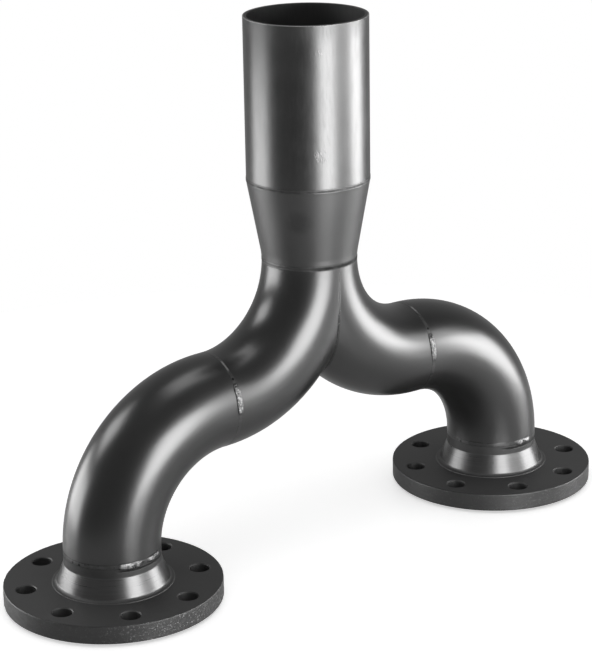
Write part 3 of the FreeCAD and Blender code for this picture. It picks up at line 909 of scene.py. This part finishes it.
def seen_directly(at, in_reflections=1.0):
    """1 for views, straight or through glass, in_reflections for reflections, and 0 for light."""
    outputs = ("Is Camera Ray", "Is Glossy Ray", "Is Transmission Ray")
    camera, glossy, through = at.node("ShaderNodeLightPath", None, None, outputs)
    return camera.most(glossy * in_reflections).most(through)


def camera():
    """The camera that was fitted to the photo, without a shift."""
    data = bpy.data.cameras.new("camera")
    data.lens = 125.41693
    data.sensor_width = 36.0
    data.clip_start = 0.05
    data.clip_end = 50.0
    made = plain_object("camera", data)
    made.location = (-1.24193894, -1.6111651, 0.89355095)
    made.rotation_euler = [math.radians(turn) for turn in (71.42064861, 0.94910865, -37.56336706)]
    bpy.context.scene.camera = made


def floor():
    """Pale satin floor, lifted to white for the camera, which keeps the object's shadow."""
    points, faces = [(0.0, 0.0, 0.0)], []
    steps, radius = 96, 0.8
    for k in range(steps):
        turn = math.tau * k / steps
        points.append((radius * math.cos(turn), radius * math.sin(turn), 0.0))
        faces.append((0, k + 1, (k + 1) % steps + 1))
    mesh = bpy.data.meshes.new("floor")
    mesh.from_pydata(points, [], faces)
    made = plain_object("floor", mesh)
    finish, at, _ = start_finish("pale_floor")
    paint_tone, lift_to_white = 0.80, 0.56
    lift = seen_directly(at, in_reflections=0.1) * lift_to_white
    paint = at.node("ShaderNodeBsdfPrincipled", None, {
        "Base Color": (paint_tone, paint_tone, paint_tone, 1.0), "Roughness": 0.32,
        "Emission Color": lift.grey(), "Emission Strength": 1.0})
    at.node("ShaderNodeOutputMaterial", None, {"Surface": paint}, ())
    mesh.materials.append(finish)


def surroundings():
    """A world that is white to look at, and lights surfaces less."""
    world = bpy.data.worlds.new("studio")
    world.use_nodes = True
    world.node_tree.nodes.clear()
    at = Field(world.node_tree)
    lighting = 0.55
    strength = lighting + seen_directly(at) * (1.0 - lighting)
    back = at.node("ShaderNodeBackground", None, {"Color": WHITE, "Strength": strength})
    at.node("ShaderNodeOutputWorld", None, {"Surface": back}, ())
    bpy.context.scene.world = world


def area_lamp(name, place, aim, width, height, radiance):
    """Lamp that faces its aim, and that the camera doesn't see."""
    data = bpy.data.lights.new(name, "AREA")
    data.shape = "RECTANGLE"
    data.size = width
    data.size_y = height
    data.energy = radiance * width * height * LAMP_POWER
    made = plain_object(name, data)
    made.location = place
    made.rotation_euler = (Vector(aim) - Vector(place)).to_track_quat("-Z", "Y").to_euler()
    made.visible_camera = False
    return made


def softbox(name, bearing, distance, width, low, high, radiance):
    """Upright lamp that only reflections see; its bearing counts from the camera's, rightwards."""
    turn = math.radians(bearing + CAMERA_BEARING)
    centre = (low + high) / 2
    place = (distance * math.cos(turn), distance * math.sin(turn), centre)
    made = area_lamp(name, place, (0.0, 0.0, centre), width, high - low, radiance)
    made.visible_diffuse = False
    made.visible_transmission = False


def dark_room():
    """Dark walls and ceiling, paler behind the object, which only reflections see."""
    outline = [(2.3, -0.9), (2.3, 1.4), (2.1, 2.2), (1.5, 2.8), (0.7, 3.1), (0.0, 3.2)]
    mesh = turned_mesh("dark_room", outline, 48, closed=False)
    made = plain_object("dark_room", mesh)
    finish, at, place = start_finish("dark_wall")
    x, y, _ = place.split()
    beyond = x * 0.61 + y * 0.79  # how far a wall lies behind the object, as the camera sees it
    strength = beyond.ramp(0.9, 1.9, 0.15, 0.37)
    glow = at.node("ShaderNodeEmission", None, {"Color": WHITE, "Strength": strength})
    at.node("ShaderNodeOutputMaterial", None, {"Surface": glow}, ())
    mesh.materials.append(finish)
    made.visible_camera = False
    made.visible_diffuse = False
    made.visible_transmission = False
    made.visible_shadow = False


def lights():
    """One lamp above that lights surfaces, one that only reflections see, and six softboxes."""
    overhead = area_lamp("overhead_lamp", (-0.3, -0.5, 2.2), (0.0, 0.0, 0.2), 1.6, 1.6, 1.2)
    overhead.visible_glossy = False
    roof = area_lamp("roof_lamp", (0.23, 0.13, 2.0), (0.23, 0.13, 0.0), 0.94, 0.94, 2.3)
    roof.visible_diffuse = False
    # Name, bearing, distance, width, heights of the lower and upper edge, and radiance.
    softbox("left_low_softbox", -94.3, 0.82, 0.58, -0.11, 0.30, 6.4)
    softbox("left_high_softbox", -98.8, 0.99, 0.52, 0.58, 1.09, 4.9)
    softbox("front_softbox", 36.0, 0.93, 0.50, -0.14, 0.55, 11.0)
    softbox("right_softbox", 100.0, 1.10, 0.58, -0.08, 0.42, 10.6)
    softbox("between_low_softbox", 71.5, 0.86, 0.20, -0.10, 0.10, 2.4)
    softbox("between_high_softbox", 76.0, 0.93, 0.78, 0.18, 0.70, 3.2)


camera()
floor()
surroundings()
dark_room()
lights()

bpy.context.scene.view_settings.view_transform = "Standard"
